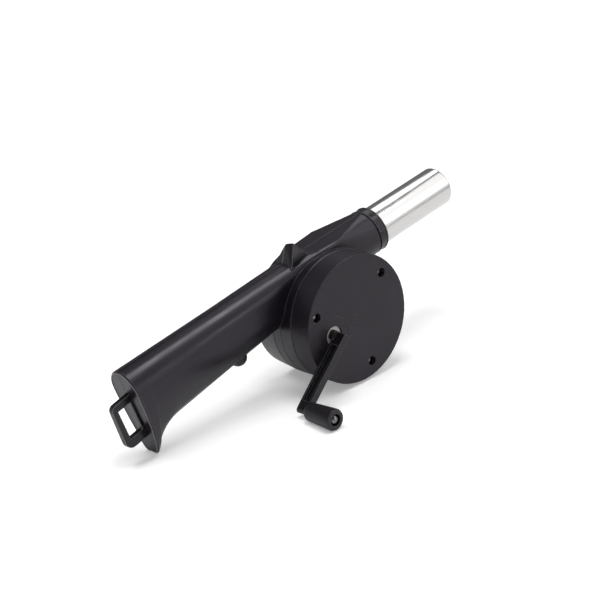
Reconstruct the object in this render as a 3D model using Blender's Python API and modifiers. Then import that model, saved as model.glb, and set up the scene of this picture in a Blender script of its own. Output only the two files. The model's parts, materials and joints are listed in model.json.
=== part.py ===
"""Hand-cranked blower for a forge or a grill, as an assembly of separate pieces.

The pieces are modelled in a bench frame: X runs along the nozzle, Y to the top of the handle and Z out of the
crank side, with the outer face of the gear cover at Z = 0 and the fan's axis on Z. The last section lays the
blower down on its heel, the rear rim of its drum and its crank knob, which is how it rests on a table.
"""

import math

import bmesh
import bpy
import numpy as np
from mathutils import Matrix, Vector

# Clearances
SEAT_GAP = 0.0003
RUNNING_GAP = 0.0001
PRESS_GAP = 0.00006

# Drum: gear cover in front, then the two halves of the fan housing
DRUM_RADIUS = 0.040
DRUM_DEPTH = 0.0503
COVER_DEPTH = 0.015
PARTING_DEPTH = 0.032
WALL = 0.002
MID_PLATE = 0.002
EDGE = 0.0008
BAND_DEPTH = 0.025
BAND_GROOVE = 0.0004
BACK_TAPER = 0.0017

# Handle, measured from the fan's axis
SPINE_TOP = 0.0422
TOP_SLOPE = 0.0095
GRIP_WIDTH = 0.021
BUTT_WIDTH = 0.024
GRIP_BOTTOM = 0.0072
GRIP_SLOPE = 0.119
GRIP_TOP_FLAT = 0.0009
GRIP_SHOULDER = 0.0110
GRIP_LOW_FLAT = 0.0012
GRIP_BELLY = 0.0160
GRIP_POINT = 1.1
BUTT_LENGTH = 0.1506
BUTT_RAKE = 0.125
BUTT_WALL = 0.0025
BUTT_EDGE = 0.0009
BUTT_TOP_FLAT = 0.0002
BUTT_SHOULDER = 0.0130
BUTT_LOW_FLAT = 0.0014
BUTT_BELLY = 0.0450
BUTT_POINT = 1.1
HEEL_BOTTOM = -0.0184
HEEL_TIP = 0.0026
FLARE_LENGTH = 0.0185
NUB_FROM_AXIS = 0.0697
NUB_LENGTH = 0.0114
NUB_DROP = 0.0044
NUB_WIDTH = 0.014

# Thumb stop on top of the handle
STOP_REAR = 0.0205
STOP_LENGTH = 0.0160
STOP_HEIGHT = 0.0110
STOP_LEAN = 0.0066
STOP_WIDTH = 0.0141
STOP_RIDGE = 0.0070
STOP_OFFSET = 0.0018
STOP_TOP_FLAT = 0.0022
STOP_SHOULDER = 0.0090
STOP_LOW_FLAT = 0.0010
STOP_BELLY = 0.0120

# Nozzle
NOZZLE_HEIGHT = 0.0283
DUCT_END = 0.0465
DUCT_STEP = 0.0001
DUCT_WIDTH = 0.0254
DUCT_CORNER = 0.017
DUCT_BEVEL = 0.0024
DUCT_BULGE = 0.0004
DUCT_SHOULDER = 0.0020
DUCT_LOW_FLAT = 0.0020
DUCT_BELLY = 0.0100
DUCT_END_FLAT = 0.0018
DUCT_END_LOW_FLAT = 0.0006
TUBE_RADIUS = 0.0125
TUBE_WALL = 0.0008
TUBE_END = 0.1142
TUBE_SEAT = 0.0053
SPIGOT_WALL = 0.0017
SPIGOT_LENGTH = 0.013
COLLAR_WALL = 0.0017
COLLAR_LENGTH = 0.0064
COLLAR_GROOVE = 0.0009

# Gear train
MODULE = 0.0007
WHEEL_TEETH = 40
PINION_TEETH = 12
PRESSURE_ANGLE = math.radians(25)
ADDENDUM = 0.9
DEDENDUM = 1.2
BACKLASH = 0.00016
WHEEL_WIDTH = 0.0035
WHEEL_FRONT = 0.0031
SECOND_WHEEL_FRONT = 0.0081
CRANK_AXIS = (-0.0200, -0.0006)
HUB_RADIUS = 0.0059
HUB_RECESS = 0.0012
STUB_RADIUS = 0.0028
BOSS_RADIUS = 0.0050
BOSS_FRONT = 0.0121
AXLE_RADIUS = 0.0015
BUSH_RADIUS = 0.0030
BUSH_FLANGE = 0.0010

# Crank
CRANK_LENGTH = 0.0478
CRANK_ANGLE = math.radians(214.6)
ARM_CLEAR = 0.0012
ARM_WIDTH = 0.0046
ARM_DEPTH = 0.0082
ARM_FLANGE = 0.0015
ARM_WEB = 0.0012
ARM_HUB_END = 0.0024
ARM_KNOB_END = 0.0030
SHAFT_RADIUS = 0.0040
SHAFT_FLAT = 0.0030
SHAFT_LENGTH = 0.0070
KNOB_RADIUS = 0.0067
KNOB_ROOT_RADIUS = 0.0057
KNOB_NECK = 0.0047
KNOB_LENGTH = 0.0229
KNOB_SHOULDER = 0.0016
KNOB_RECESS = 0.0050
KNOB_RECESS_RADIUS = 0.0037

# Fan
IMPELLER_GAP = 0.0012
IMPELLER_PLATE = 0.0012
BLADES = 10
BLADE_THICKNESS = 0.0012
BLADE_SWEEP = math.radians(24)
FAN_CLEARANCE = 0.0026
FAN_HUB_RADIUS = 0.0046
INLET_INNER = 0.0085
INLET_OUTER = 0.0205
INLET_SLOTS = 14
INLET_SLOT_WIDTH = 0.0024

# Screws
SCREW_RADIUS = 0.0012
HEAD_RADIUS = 0.0025
HEAD_HEIGHT = 0.0018
COVER_SCREW_LENGTH = 0.0090
GRIP_SCREW_LENGTH = 0.0100
DRUM_SCREW_LENGTH = 0.0180
SCREW_RECESS_RADIUS = 0.0029
COVER_SCREW_DEPTH = 0.0070
COVER_SCREW_CIRCLES = (0.80, 0.84, 0.78)
COVER_SCREW_ANGLES = (34.4, 150.3, 275.5)
POST_RADIUS = 0.0040
POST_FLOOR = 0.0020
DRUM_SCREW_ANGLES = (222.0, 318.0)
GRIP_SCREW_SHARES = (0.843, 0.425)
GRIP_SCREW_HEIGHTS = (0.018, 0.022)
BODY_SCREW_DEPTH = 0.0060

# Lanyard loop, in line with the raked butt
LOOP_CENTRE = 0.0103
LOOP_HEIGHT = 0.0303
LOOP_REACH = 0.0142
LOOP_BAR = 0.0036
LOOP_BASE = 0.0014
LOOP_LEG = 0.0046
LOOP_LOW_LEG = 0.0060
LOOP_TAPER = 0.0008
LOOP_THICKNESS = 0.0036
LOOP_ROOT = 0.0036
LOOP_CORNER = 0.0034
LOOP_LOW_CORNER = 0.0052
LOOP_TONGUE = 0.0044

# Facets
ROUND = 52
TUBE_ROUND = 36
KNOB_ROUND = 28
SMALL_ROUND = 18
SCREW_ROUND = 10
ARC_STEPS = 6
OVERLAP = 0.0010

# Levels along the bench frame's Z
COVER_BACK = -COVER_DEPTH
PARTING = -PARTING_DEPTH
DRUM_BACK = -DRUM_DEPTH
PLATE_FRONT = COVER_BACK - SEAT_GAP
CHAMBER_FRONT = PLATE_FRONT - MID_PLATE
CHAMBER_BACK = DRUM_BACK + WALL
CHAMBER_RADIUS = DRUM_RADIUS - BACK_TAPER - WALL
GRIP_HALF = GRIP_WIDTH / 2

# The posts inside the drum leave the rest of the chamber to the fan
DRUM_SCREW_CIRCLE = CHAMBER_RADIUS - POST_RADIUS - SEAT_GAP
IMPELLER_RADIUS = DRUM_SCREW_CIRCLE - POST_RADIUS - IMPELLER_GAP

# Places along the nozzle
SPIGOT_RADIUS = TUBE_RADIUS - TUBE_WALL - RUNNING_GAP
COLLAR_RADIUS = TUBE_RADIUS + COLLAR_WALL
DUCT_END_RADIUS = COLLAR_RADIUS + DUCT_STEP
DUCT_RADIUS = SPIGOT_RADIUS - SPIGOT_WALL
COLLAR_REAR = DUCT_END + COLLAR_GROOVE
COLLAR_FRONT = COLLAR_REAR + COLLAR_LENGTH
TUBE_REAR = COLLAR_FRONT - TUBE_SEAT

# Gear centres: the idler sits at one centre distance from both the crank and the fan
WHEEL_RADIUS = MODULE * WHEEL_TEETH / 2
PINION_RADIUS = MODULE * PINION_TEETH / 2
CENTRE_DISTANCE = WHEEL_RADIUS + PINION_RADIUS


def clear_scene():
    for old in list(bpy.data.objects):
        bpy.data.objects.remove(old)


def new_collection(name):
    made = bpy.data.collections.new(name)
    bpy.context.scene.collection.children.link(made)
    return made


def look(name, colour, roughness, metallic=0.0):
    """A material with one Principled BSDF."""
    made = bpy.data.materials.new(name)
    made.use_nodes = True
    shader = made.node_tree.nodes["Principled BSDF"]
    shader.inputs["Base Color"].default_value = (*colour, 1.0)
    shader.inputs["Roughness"].default_value = roughness
    shader.inputs["Metallic"].default_value = metallic
    return made


def add(name, mesh, material, at=(0, 0, 0), turn=(0, 0, 0), parent=None):
    """A piece of the blower, in the bench frame or in its parent's."""
    made = bpy.data.objects.new(name, mesh)
    PARTS.objects.link(made)
    made.parent = parent or BENCH
    made.location = at
    made.rotation_euler = turn
    if material:
        mesh.materials.append(material)
    return made


def tool(name, mesh, at=(0, 0, 0), turn=(0, 0, 0), parent=None):
    """A shape that only cuts or is joined to a piece."""
    made = add(name, mesh, None, at, turn, parent)
    PARTS.objects.unlink(made)
    TOOLS.objects.link(made)
    made.hide_render = True
    made.display_type = "WIRE"
    return made


def boolean(target, other, operation):
    made = target.modifiers.new(f"{operation} {other.name}", "BOOLEAN")
    made.operation = operation
    made.solver = "EXACT"
    made.object = other


def join(target, *others):
    for other in others:
        boolean(target, other, "UNION")


def cut(target, *others):
    for other in others:
        boolean(target, other, "DIFFERENCE")


def mesh_of(name, shape):
    made = bpy.data.meshes.new(name)
    shape.to_mesh(made)
    shape.free()
    return made


def smooth(mesh, angle=math.radians(35)):
    mesh.shade_smooth()
    mesh.set_sharp_from_angle(angle=angle)
    return mesh


def cylinder(name, radius, low, high, segments=SMALL_ROUND):
    """A round bar along Z from low to high."""
    shape = bmesh.new()
    place = Matrix.Translation((0, 0, (low + high) / 2))
    bmesh.ops.create_cone(
        shape,
        cap_ends=True,
        segments=segments,
        radius1=radius,
        radius2=radius,
        depth=high - low,
        matrix=place,
    )
    return smooth(mesh_of(name, shape))


def block(name, low, high):
    """A box between two corners."""
    low, high = Vector(low), Vector(high)
    shape = bmesh.new()
    bmesh.ops.create_cube(shape, size=1.0)
    bmesh.ops.scale(shape, vec=high - low, verts=shape.verts)
    bmesh.ops.translate(shape, vec=(low + high) / 2, verts=shape.verts)
    return mesh_of(name, shape)


def hull(name, points):
    """The convex solid around a few corners."""
    shape = bmesh.new()
    corners = [shape.verts.new(p) for p in points]
    bmesh.ops.convex_hull(shape, input=corners)
    bmesh.ops.recalc_face_normals(shape, faces=shape.faces)
    return mesh_of(name, shape)


def turn_about_z(target, steps):
    spun = target.modifiers.new("turned", "SCREW")
    spun.axis = "Z"
    spun.angle = math.tau
    spun.screw_offset = 0.0
    spun.steps = steps
    spun.render_steps = steps
    spun.use_merge_vertices = True
    spun.merge_threshold = 0.000001
    spun.use_smooth_shade = True


def profile(name, points, closed):
    """A line of (radius, z) points, run down the outer side, for turning about Z."""
    count = len(points)
    edges = [(i, i + 1) for i in range(count - 1)]
    if closed:
        edges.append((count - 1, 0))
    made = bpy.data.meshes.new(name)
    made.from_pydata([(r, 0.0, z) for r, z in points], edges, [])
    return made


def ring(outer, inner, low, high, edge=0.0):
    """The profile of a plain ring with its two outer edges broken."""
    return [
        (outer - edge, high),
        (outer, high - edge),
        (outer, low + edge),
        (outer - edge, low),
        (inner, low),
        (inner, high),
    ]


def plate(name, outlines, low, high):
    """A flat outline, with any holes, filled and extruded along Z."""
    drawn = bpy.data.curves.new(name, "CURVE")
    drawn.dimensions = "2D"
    drawn.fill_mode = "BOTH"
    drawn.extrude = (high - low) / 2
    for outline in outlines:
        line = drawn.splines.new("POLY")
        line.points.add(len(outline) - 1)
        line.use_cyclic_u = True
        for point, (x, y) in zip(line.points, outline):
            point.co = (x, y, 0.0, 1.0)
    drawing = bpy.data.objects.new(name, drawn)
    TOOLS.objects.link(drawing)
    made = bpy.data.meshes.new_from_object(drawing.evaluated_get(bpy.context.evaluated_depsgraph_get()))
    bpy.data.objects.remove(drawing)
    shape = bmesh.new()
    shape.from_mesh(made)
    bpy.data.meshes.remove(made)
    bmesh.ops.remove_doubles(shape, verts=shape.verts, dist=0.000001)
    bmesh.ops.translate(shape, vec=(0, 0, (low + high) / 2), verts=shape.verts)
    bmesh.ops.recalc_face_normals(shape, faces=shape.faces)
    return smooth(mesh_of(name, shape), math.radians(20))


def arc(centre, radius, start, end, steps):
    """Points on a circle from one angle to another, both ends kept."""
    angles = [start + (end - start) * i / steps for i in range(steps + 1)]
    return [(centre[0] + radius * math.cos(a), centre[1] + radius * math.sin(a)) for a in angles]


def circle(centre, radius, steps=SMALL_ROUND):
    return arc(centre, radius, 0, math.tau, steps)[:-1]


def polar(radius, degrees):
    return (radius * math.cos(math.radians(degrees)), radius * math.sin(math.radians(degrees)))


def double_d(radius, flat):
    """A circle with two flats across it, at plus and minus flat along Y."""
    lean = math.asin(flat / radius)
    return arc((0, 0), radius, -lean, lean, 8) + arc((0, 0), radius, math.pi - lean, math.pi + lean, 8)


def involute(angle):
    return math.tan(angle) - angle


def gear_outline(teeth, first_tooth):
    """Spur gear outline with true involute flanks, and a tooth centred on the angle first_tooth."""
    pitch = MODULE * teeth / 2
    base = pitch * math.cos(PRESSURE_ANGLE)
    tip = pitch + ADDENDUM * MODULE
    root = pitch - DEDENDUM * MODULE
    half_tooth = math.pi / (2 * teeth) - BACKLASH / (4 * pitch)
    start = max(base, root)
    radii = [start, pitch, tip]

    def half_angle(radius):
        return half_tooth + involute(PRESSURE_ANGLE) - involute(math.acos(min(1.0, base / radius)))

    outline = []
    for tooth in range(teeth):
        middle = first_tooth + math.tau * tooth / teeth
        flank = [(r, half_angle(r)) for r in radii]
        if root < base:
            flank.insert(0, (root, half_angle(start)))
        outline += [(r * math.cos(middle - a), r * math.sin(middle - a)) for r, a in flank]
        outline += [(r * math.cos(middle + a), r * math.sin(middle + a)) for r, a in reversed(flank)]
    return outline


def underside(x):
    """Height of the lowest line of the handle and nozzle duct at x."""
    duct_bottom = NOZZLE_HEIGHT - DUCT_END_RADIUS
    if x > -DRUM_RADIUS:
        along = (x + DRUM_RADIUS) / (DUCT_END + DRUM_RADIUS)
        return GRIP_BOTTOM + (duct_bottom - GRIP_BOTTOM) * along
    straight = GRIP_BOTTOM + GRIP_SLOPE * (x + DRUM_RADIUS)
    flare = min(1.0, max(0.0, (FLARE_START - x) / FLARE_LENGTH))
    return straight + (HEEL_BOTTOM - straight) * (1 - math.sqrt(1 - flare * flare))


def top_line(x):
    """Height of the highest line of the handle and nozzle duct at x."""
    return SPINE_TOP + TOP_SLOPE * min(x, 0.0)


def section_keys():
    """Section sizes along X: half width, flat and height of the shoulders and of the belly, belly power."""
    butt = BUTT_WIDTH / 2
    duct = DUCT_WIDTH / 2
    wide = duct + DUCT_BULGE
    end = DUCT_END_RADIUS
    return (
        (-BUTT_LENGTH, (butt, BUTT_TOP_FLAT, BUTT_SHOULDER, BUTT_LOW_FLAT, BUTT_BELLY, BUTT_POINT)),
        (-BUTT_LENGTH / 2, (GRIP_HALF, GRIP_TOP_FLAT, GRIP_SHOULDER, GRIP_LOW_FLAT, GRIP_BELLY, GRIP_POINT)),
        (-STOP_REAR, (GRIP_HALF, STOP_TOP_FLAT, STOP_SHOULDER, STOP_LOW_FLAT, STOP_BELLY, 1.0)),
        (0.0, (duct, duct - DUCT_BEVEL, DUCT_SHOULDER, DUCT_LOW_FLAT, DUCT_BELLY, 1.0)),
        (DUCT_CORNER, (wide, duct - DUCT_BULGE, DUCT_BEVEL, DUCT_LOW_FLAT, STOP_BELLY, 1.0)),
        (DUCT_END, (end, DUCT_END_FLAT, end, DUCT_END_LOW_FLAT, end, 1.0)),
    )


def section_at(x):
    """The section's sizes at x, eased between its keys."""
    keys = section_keys()
    if x <= keys[0][0]:
        return keys[0][1]
    for (x0, first), (x1, second) in zip(keys, keys[1:]):
        if x <= x1:
            share = (x - x0) / (x1 - x0)
            return tuple(a + (b - a) * share for a, b in zip(first, second))
    return keys[-1][1]


def section_outline(x, inset=0.0):
    """One closed section (across, height): a slot with elliptical shoulders and a round or pointed belly."""
    half, top_flat, top_round, low_flat, low_round, power = section_at(x)
    bottom = underside(x) + inset
    top = top_line(x) - inset
    half -= inset
    top_flat = min(top_flat, half)
    low_round = min(low_round, top - top_round - bottom)
    quarter = [math.pi / 2 * i / ARC_STEPS for i in range(ARC_STEPS + 1)]
    side = []
    for t in quarter:
        across = top_flat + (half - top_flat) * math.sin(t)
        side.append((across, top - top_round * (1 - math.cos(t))))
    for t in quarter:
        across = low_flat + (half - low_flat) * max(0.0, math.cos(t)) ** power
        side.append((across, bottom + low_round * (1 - math.sin(t))))
    return [(0.0, top)] + side + [(0.0, bottom)] + [(-w, y) for w, y in reversed(side)]


def spine_section(x, inset=0.0):
    """A section of the handle or duct, square to X and centred on the parting plane."""
    return [(x, y, PARTING + w) for w, y in section_outline(x, inset)]


def butt_section(inset, forward):
    """A section at the butt's rake, a little forward of the butt face."""
    return [(butt_x(y) + forward, y, PARTING + w) for w, y in section_outline(-BUTT_LENGTH, inset)]


def loft(name, sections):
    """A closed solid through sections that have the same number of points."""
    shape = bmesh.new()
    rows = [[shape.verts.new(p) for p in section] for section in sections]
    count = len(rows[0])
    for row, following in zip(rows, rows[1:]):
        for i in range(count):
            j = (i + 1) % count
            shape.faces.new((row[i], row[j], following[j], following[i]))
    shape.faces.new(rows[0])
    shape.faces.new(rows[-1])
    bmesh.ops.recalc_face_normals(shape, faces=shape.faces)
    return smooth(mesh_of(name, shape), math.radians(30))


def butt_x(y):
    """Where the raked butt face lies at height y."""
    return -BUTT_LENGTH + BUTT_RAKE * (top_line(-BUTT_LENGTH) - y)


def spine_sections():
    """Sections of the loft: close together where the heel flares and where the duct turns round."""
    flare = [FLARE_START - FLARE_LENGTH * math.sin(math.pi / 2 * i / 8) for i in range(8)]
    grip = [-BUTT_LENGTH / 2, -DRUM_RADIUS, -STOP_REAR, 0.0]
    duct = [DUCT_CORNER + (DUCT_END - DUCT_CORNER) * i / 5 for i in range(6)]
    butt = [butt_section(BUTT_EDGE, 0.0), butt_section(0.0, BUTT_EDGE)]
    return butt + [spine_section(x) for x in flare[::-1] + grip + duct]


def screw(name, at, length, flip):
    """A pan-head screw with a cross recess. Its head's seat is at Z = 0 and its shank runs down."""
    made = add(
        name,
        profile(
            name,
            [
                (0.0, HEAD_HEIGHT),
                (HEAD_RADIUS * 0.6, HEAD_HEIGHT),
                (HEAD_RADIUS, HEAD_HEIGHT * 0.45),
                (HEAD_RADIUS, 0.0),
                (SCREW_RADIUS, 0.0),
                (SCREW_RADIUS, -length + SCREW_RADIUS),
                (0.0, -length),
            ],
            False,
        ),
        STEEL,
        at,
        (math.pi if flip else 0.0, 0, 0),
    )
    turn_about_z(made, SCREW_ROUND)
    long_side, short_side = HEAD_RADIUS * 0.5, HEAD_RADIUS * 0.14
    for number, (x, y) in enumerate(((long_side, short_side), (short_side, long_side))):
        slot = block(f"{name}_slot_{number}", (-x, -y, HEAD_HEIGHT * 0.5), (x, y, HEAD_HEIGHT * 2))
        cut(made, tool(slot.name, slot, parent=made))
    return made


def screw_hole(name, at, length, flip, recess):
    """The hole for a screw: pilot along the shank, and a recess outward from the head's seat."""
    turn = (math.pi if flip else 0.0, 0, 0)
    shank = SCREW_RADIUS + RUNNING_GAP
    made = tool(name, cylinder(name, shank, -length - SEAT_GAP, OVERLAP, SCREW_ROUND), at, turn)
    mouth = f"{name}_mouth"
    return made, tool(mouth, cylinder(mouth, SCREW_RECESS_RADIUS, -SEAT_GAP, recess), at, turn)


def cover_screw_places():
    """Places of the screws that hold the gear cover, at their own shares of the drum's radius."""
    return [polar(DRUM_RADIUS * share, a) for share, a in zip(COVER_SCREW_CIRCLES, COVER_SCREW_ANGLES)]


def body_screw_places():
    """Places of the screws that join the housing halves, with the outer face's depth and the length there."""
    grip = zip(GRIP_SCREW_SHARES, GRIP_SCREW_HEIGHTS)
    places = [(-BUTT_LENGTH * share, y, PARTING - GRIP_HALF, GRIP_SCREW_LENGTH) for share, y in grip]
    for angle in DRUM_SCREW_ANGLES:
        places.append((*polar(DRUM_SCREW_CIRCLE, angle), DRUM_BACK, DRUM_SCREW_LENGTH))
    return places


def idler_place():
    """Idler axis: one centre distance from both the crank's axis and the fan's, on the lower side."""
    crank = Vector(CRANK_AXIS)
    rise = math.sqrt(CENTRE_DISTANCE**2 - (crank.length / 2) ** 2)
    return crank / 2 + Vector((-crank.y, crank.x)).normalized() * rise


def build_gear_cover():
    outer = DRUM_RADIUS
    cover = add(
        "gear_cover",
        profile(
            "gear_cover",
            [
                (0.0, 0.0),
                (outer - EDGE, 0.0),
                (outer - EDGE * 0.3, -EDGE * 0.3),
                (outer, -EDGE),
                (outer, COVER_BACK + EDGE / 2),
                (outer - EDGE / 2, COVER_BACK),
                (outer - WALL, COVER_BACK),
                (outer - WALL, -WALL),
                (0.0, -WALL),
            ],
            False,
        ),
        HOUSING_BLACK,
    )
    turn_about_z(cover, ROUND)
    for number, (x, y) in enumerate(cover_screw_places(), 1):
        name = f"cover_boss_{number}"
        floor = -COVER_SCREW_DEPTH - POST_FLOOR
        join(cover, tool(name, cylinder(name, POST_RADIUS, floor, -OVERLAP), (x, y, 0)))
    idler = idler_place()
    boss = cylinder("cover_axle_boss", AXLE_RADIUS + WALL, -WHEEL_FRONT + SEAT_GAP, -OVERLAP)
    join(cover, tool("cover_axle_boss", boss, (*idler, 0)))
    hole = cylinder("cover_hub_hole", HUB_RADIUS + RUNNING_GAP, -2 * WALL, WALL, TUBE_ROUND)
    socket = cylinder("cover_axle_socket", AXLE_RADIUS + PRESS_GAP, -2 * WALL, -WALL / 2)
    cut(cover, tool("cover_hub_hole", hole, (*CRANK_AXIS, 0)), tool("cover_axle_socket", socket, (*idler, 0)))
    for number, (x, y) in enumerate(cover_screw_places(), 1):
        at = (x, y, -COVER_SCREW_DEPTH)
        length = COVER_SCREW_LENGTH
        cut(cover, *screw_hole(f"cover_screw_hole_{number}", at, length, False, 2 * COVER_SCREW_DEPTH))
        screw(f"cover_screw_{number}", at, length, False)


def drum_profile():
    """Outer line of the fan housing's drum, with the band groove and the broken rear rim."""
    outer = DRUM_RADIUS
    return [
        (0.0, PLATE_FRONT),
        (outer - EDGE / 2, PLATE_FRONT),
        (outer, PLATE_FRONT - EDGE / 2),
        (outer, -BAND_DEPTH + BAND_GROOVE),
        (outer - BAND_GROOVE, -BAND_DEPTH),
        (outer, -BAND_DEPTH - BAND_GROOVE),
        (outer, PARTING),
        (outer - BACK_TAPER, DRUM_BACK + EDGE),
        (outer - BACK_TAPER - EDGE, DRUM_BACK),
        (0.0, DRUM_BACK),
    ]


def thumb_stop():
    """A wedge that rises at the rear and slopes down to the nozzle, set towards the crank side."""
    base = SPINE_TOP - WALL
    top = SPINE_TOP + STOP_HEIGHT
    middle = PARTING + STOP_OFFSET
    rear, front = -STOP_REAR, -STOP_REAR + STOP_LENGTH
    ridge = rear + STOP_LEAN
    corners = []
    for side in (-1, 1):
        wide = middle + side * STOP_WIDTH / 2
        corners += [
            (rear, base, wide),
            (front, base, wide),
            (ridge, top, middle + side * STOP_RIDGE / 2),
            (ridge + EDGE * 2, top, middle + side * STOP_RIDGE / 2),
        ]
    return tool("thumb_stop", hull("thumb_stop", corners))


def finger_nub():
    """A rounded stop under the handle, in front of the forefinger."""
    shape = bmesh.new()
    bmesh.ops.create_uvsphere(shape, u_segments=20, v_segments=10, radius=0.5)
    height = 2 * (NUB_DROP + WALL)
    bmesh.ops.scale(shape, vec=(NUB_LENGTH, height, NUB_WIDTH), verts=shape.verts)
    centre = underside(-NUB_FROM_AXIS) + WALL
    return tool("finger_nub", smooth(mesh_of("finger_nub", shape)), (-NUB_FROM_AXIS, centre, PARTING))


def hollow_section(x):
    """The handle's section inside its wall, with a straight floor that leaves the heel solid."""
    floor = GRIP_BOTTOM + GRIP_SLOPE * (x + DRUM_RADIUS) + WALL
    return [(max(y, floor), PARTING + w) for w, y in section_outline(x, WALL)]


def handle_hollow():
    """The room inside the handle: a loft from the raked inner face of the butt wall to the drum."""
    stations = [FLARE_START - FLARE_LENGTH / 2, FLARE_START, -BUTT_LENGTH / 2, -DRUM_RADIUS, -STOP_REAR]
    sections = [[(butt_x(y) + BUTT_WALL, y, z) for y, z in hollow_section(-BUTT_LENGTH)]]
    sections += [[(x, y, z) for y, z in hollow_section(x)] for x in stations]
    hollow = tool("handle_hollow", loft("handle_hollow", sections))
    cut(hollow, tool("hollow_stop", cylinder("hollow_stop", DRUM_RADIUS, DRUM_BACK * 2, -DRUM_BACK, ROUND)))
    return hollow


def along_nozzle(name, mesh, maker=tool):
    """Places a shape whose Z runs along the nozzle's axis."""
    return maker(name, mesh, (0, NOZZLE_HEIGHT, PARTING), (0, math.pi / 2, 0))


def build_loop():
    """The lanyard loop: a flat frame outside the butt, with a root that two tongues hold behind the wall."""
    tall = LOOP_HEIGHT / 2
    far = LOOP_REACH
    root = -BUTT_WALL - SEAT_GAP - LOOP_ROOT
    low, high = LOOP_LOW_CORNER, LOOP_CORNER
    outline = [(root, -tall)]
    outline += arc((far + LOOP_TAPER - low, -tall + low), low, -math.pi / 2, 0, ARC_STEPS)
    outline += arc((far - high, tall - high), high, 0, math.pi / 2, ARC_STEPS)
    outline += [(root, tall)]
    above, below = tall - LOOP_LEG, LOOP_LOW_LEG - tall
    bar = far - LOOP_BAR
    window = [(LOOP_BASE, below), (bar, below), (bar, above), (LOOP_BASE, above)]
    near, deep = SEAT_GAP, -BUTT_WALL - SEAT_GAP
    between = tall - LOOP_TONGUE
    wall_slot = [(deep, -between), (near, -between), (near, between), (deep, between)]
    half = LOOP_THICKNESS / 2
    at, turn = loop_place()
    frame = plate("lanyard_loop", [outline, window, wall_slot], -half, half)
    add("lanyard_loop", frame, CRANK_BLACK, at, turn)


def loop_place():
    """The loop's place and turn: its X runs out of the butt and its Y up along it."""
    return (butt_x(LOOP_CENTRE), LOOP_CENTRE, PARTING), (0, math.pi, math.atan(BUTT_RAKE))


def loop_slots():
    """Slots through the butt wall for the loop's two legs, and on to the end of its root."""
    half = LOOP_THICKNESS / 2 + SEAT_GAP
    at, turn = loop_place()
    made = []
    for side in (-1, 1):
        outer = side * (LOOP_HEIGHT / 2 + SEAT_GAP)
        inner = side * (LOOP_HEIGHT / 2 - LOOP_TONGUE - SEAT_GAP)
        name = f"loop_slot_{'low' if side < 0 else 'high'}"
        deep = -BUTT_WALL - LOOP_ROOT - 2 * SEAT_GAP
        mesh = block(name, (deep, min(outer, inner), -half), (OVERLAP, max(outer, inner), half))
        made.append(tool(name, mesh, at, turn))
    return made


def housing_tools():
    """Shapes that both housing halves share."""
    spine = tool("spine", loft("spine", spine_sections()))
    spigot_end = DUCT_END + SPIGOT_LENGTH
    spigot = along_nozzle("spigot", cylinder("spigot", SPIGOT_RADIUS, DUCT_CORNER, spigot_end, TUBE_ROUND))
    chamber = tool("chamber", cylinder("chamber", CHAMBER_RADIUS, CHAMBER_BACK, CHAMBER_FRONT, ROUND))
    duct = along_nozzle("duct", cylinder("duct", DUCT_RADIUS, 0.0, spigot_end + OVERLAP, TUBE_ROUND))
    added = [spine, spigot, thumb_stop(), finger_nub()]
    removed = [chamber, duct, handle_hollow(), *loop_slots()]
    return added, removed


def build_housing(name, added, removed, keep):
    """One half of the housing, kept inside the block keep."""
    half = add(name, profile(name, drum_profile(), False), HOUSING_BLACK)
    turn_about_z(half, ROUND)
    join(half, *added)
    cut(half, *removed)
    boolean(half, keep, "INTERSECT")
    return half


def build_right_half(added, removed):
    far = BUTT_LENGTH * 2
    keep = tool("keep_right", block("keep_right", (-far, -far, PARTING + SEAT_GAP / 2), (far, far, far)))
    half = build_housing("housing_right", added, removed, keep)
    bosses = (("crank", CRANK_AXIS), ("idler", idler_place()), ("fan", (0.0, 0.0)))
    for label, place in bosses:
        name = f"{label}_boss"
        shape = cylinder(name, BOSS_RADIUS, PLATE_FRONT - MID_PLATE / 2, -BOSS_FRONT)
        join(half, tool(name, shape, (*place, 0)))
    post_front = -COVER_SCREW_DEPTH - POST_FLOOR - SEAT_GAP
    for number, (x, y) in enumerate(cover_screw_places(), 1):
        name = f"cover_post_{number}"
        shape = cylinder(name, POST_RADIUS, PLATE_FRONT - MID_PLATE / 2, post_front)
        join(half, tool(name, shape, (x, y, 0)))
    for number, (x, y, face, _) in enumerate(body_screw_places(), 1):
        name = f"right_post_{number}"
        root = PARTING + GRIP_HALF - WALL / 2 if face > DRUM_BACK else CHAMBER_FRONT + MID_PLATE / 2
        shape = cylinder(name, POST_RADIUS, PARTING + SEAT_GAP / 2, root)
        join(half, tool(name, shape, (x, y, 0)))
    socket_end = CHAMBER_FRONT - OVERLAP
    sockets = (
        ("crank_socket", CRANK_AXIS, STUB_RADIUS + RUNNING_GAP, PLATE_FRONT - MID_PLATE / 2),
        ("idler_socket", idler_place(), AXLE_RADIUS + PRESS_GAP, PLATE_FRONT - MID_PLATE / 2),
        ("fan_socket", (0.0, 0.0), BUSH_RADIUS + PRESS_GAP, socket_end),
    )
    for label, place, radius, low in sockets:
        cut(half, tool(label, cylinder(label, radius, low, 0.0), (*place, 0)))
    for number, (x, y) in enumerate(cover_screw_places(), 1):
        at = (x, y, -COVER_SCREW_DEPTH)
        cut(half, screw_hole(f"cover_pilot_{number}", at, COVER_SCREW_LENGTH, False, OVERLAP)[0])
    for number, (x, y, face, length) in enumerate(body_screw_places(), 1):
        at = (x, y, face + BODY_SCREW_DEPTH)
        cut(half, screw_hole(f"right_pilot_{number}", at, length, True, OVERLAP)[0])


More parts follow.
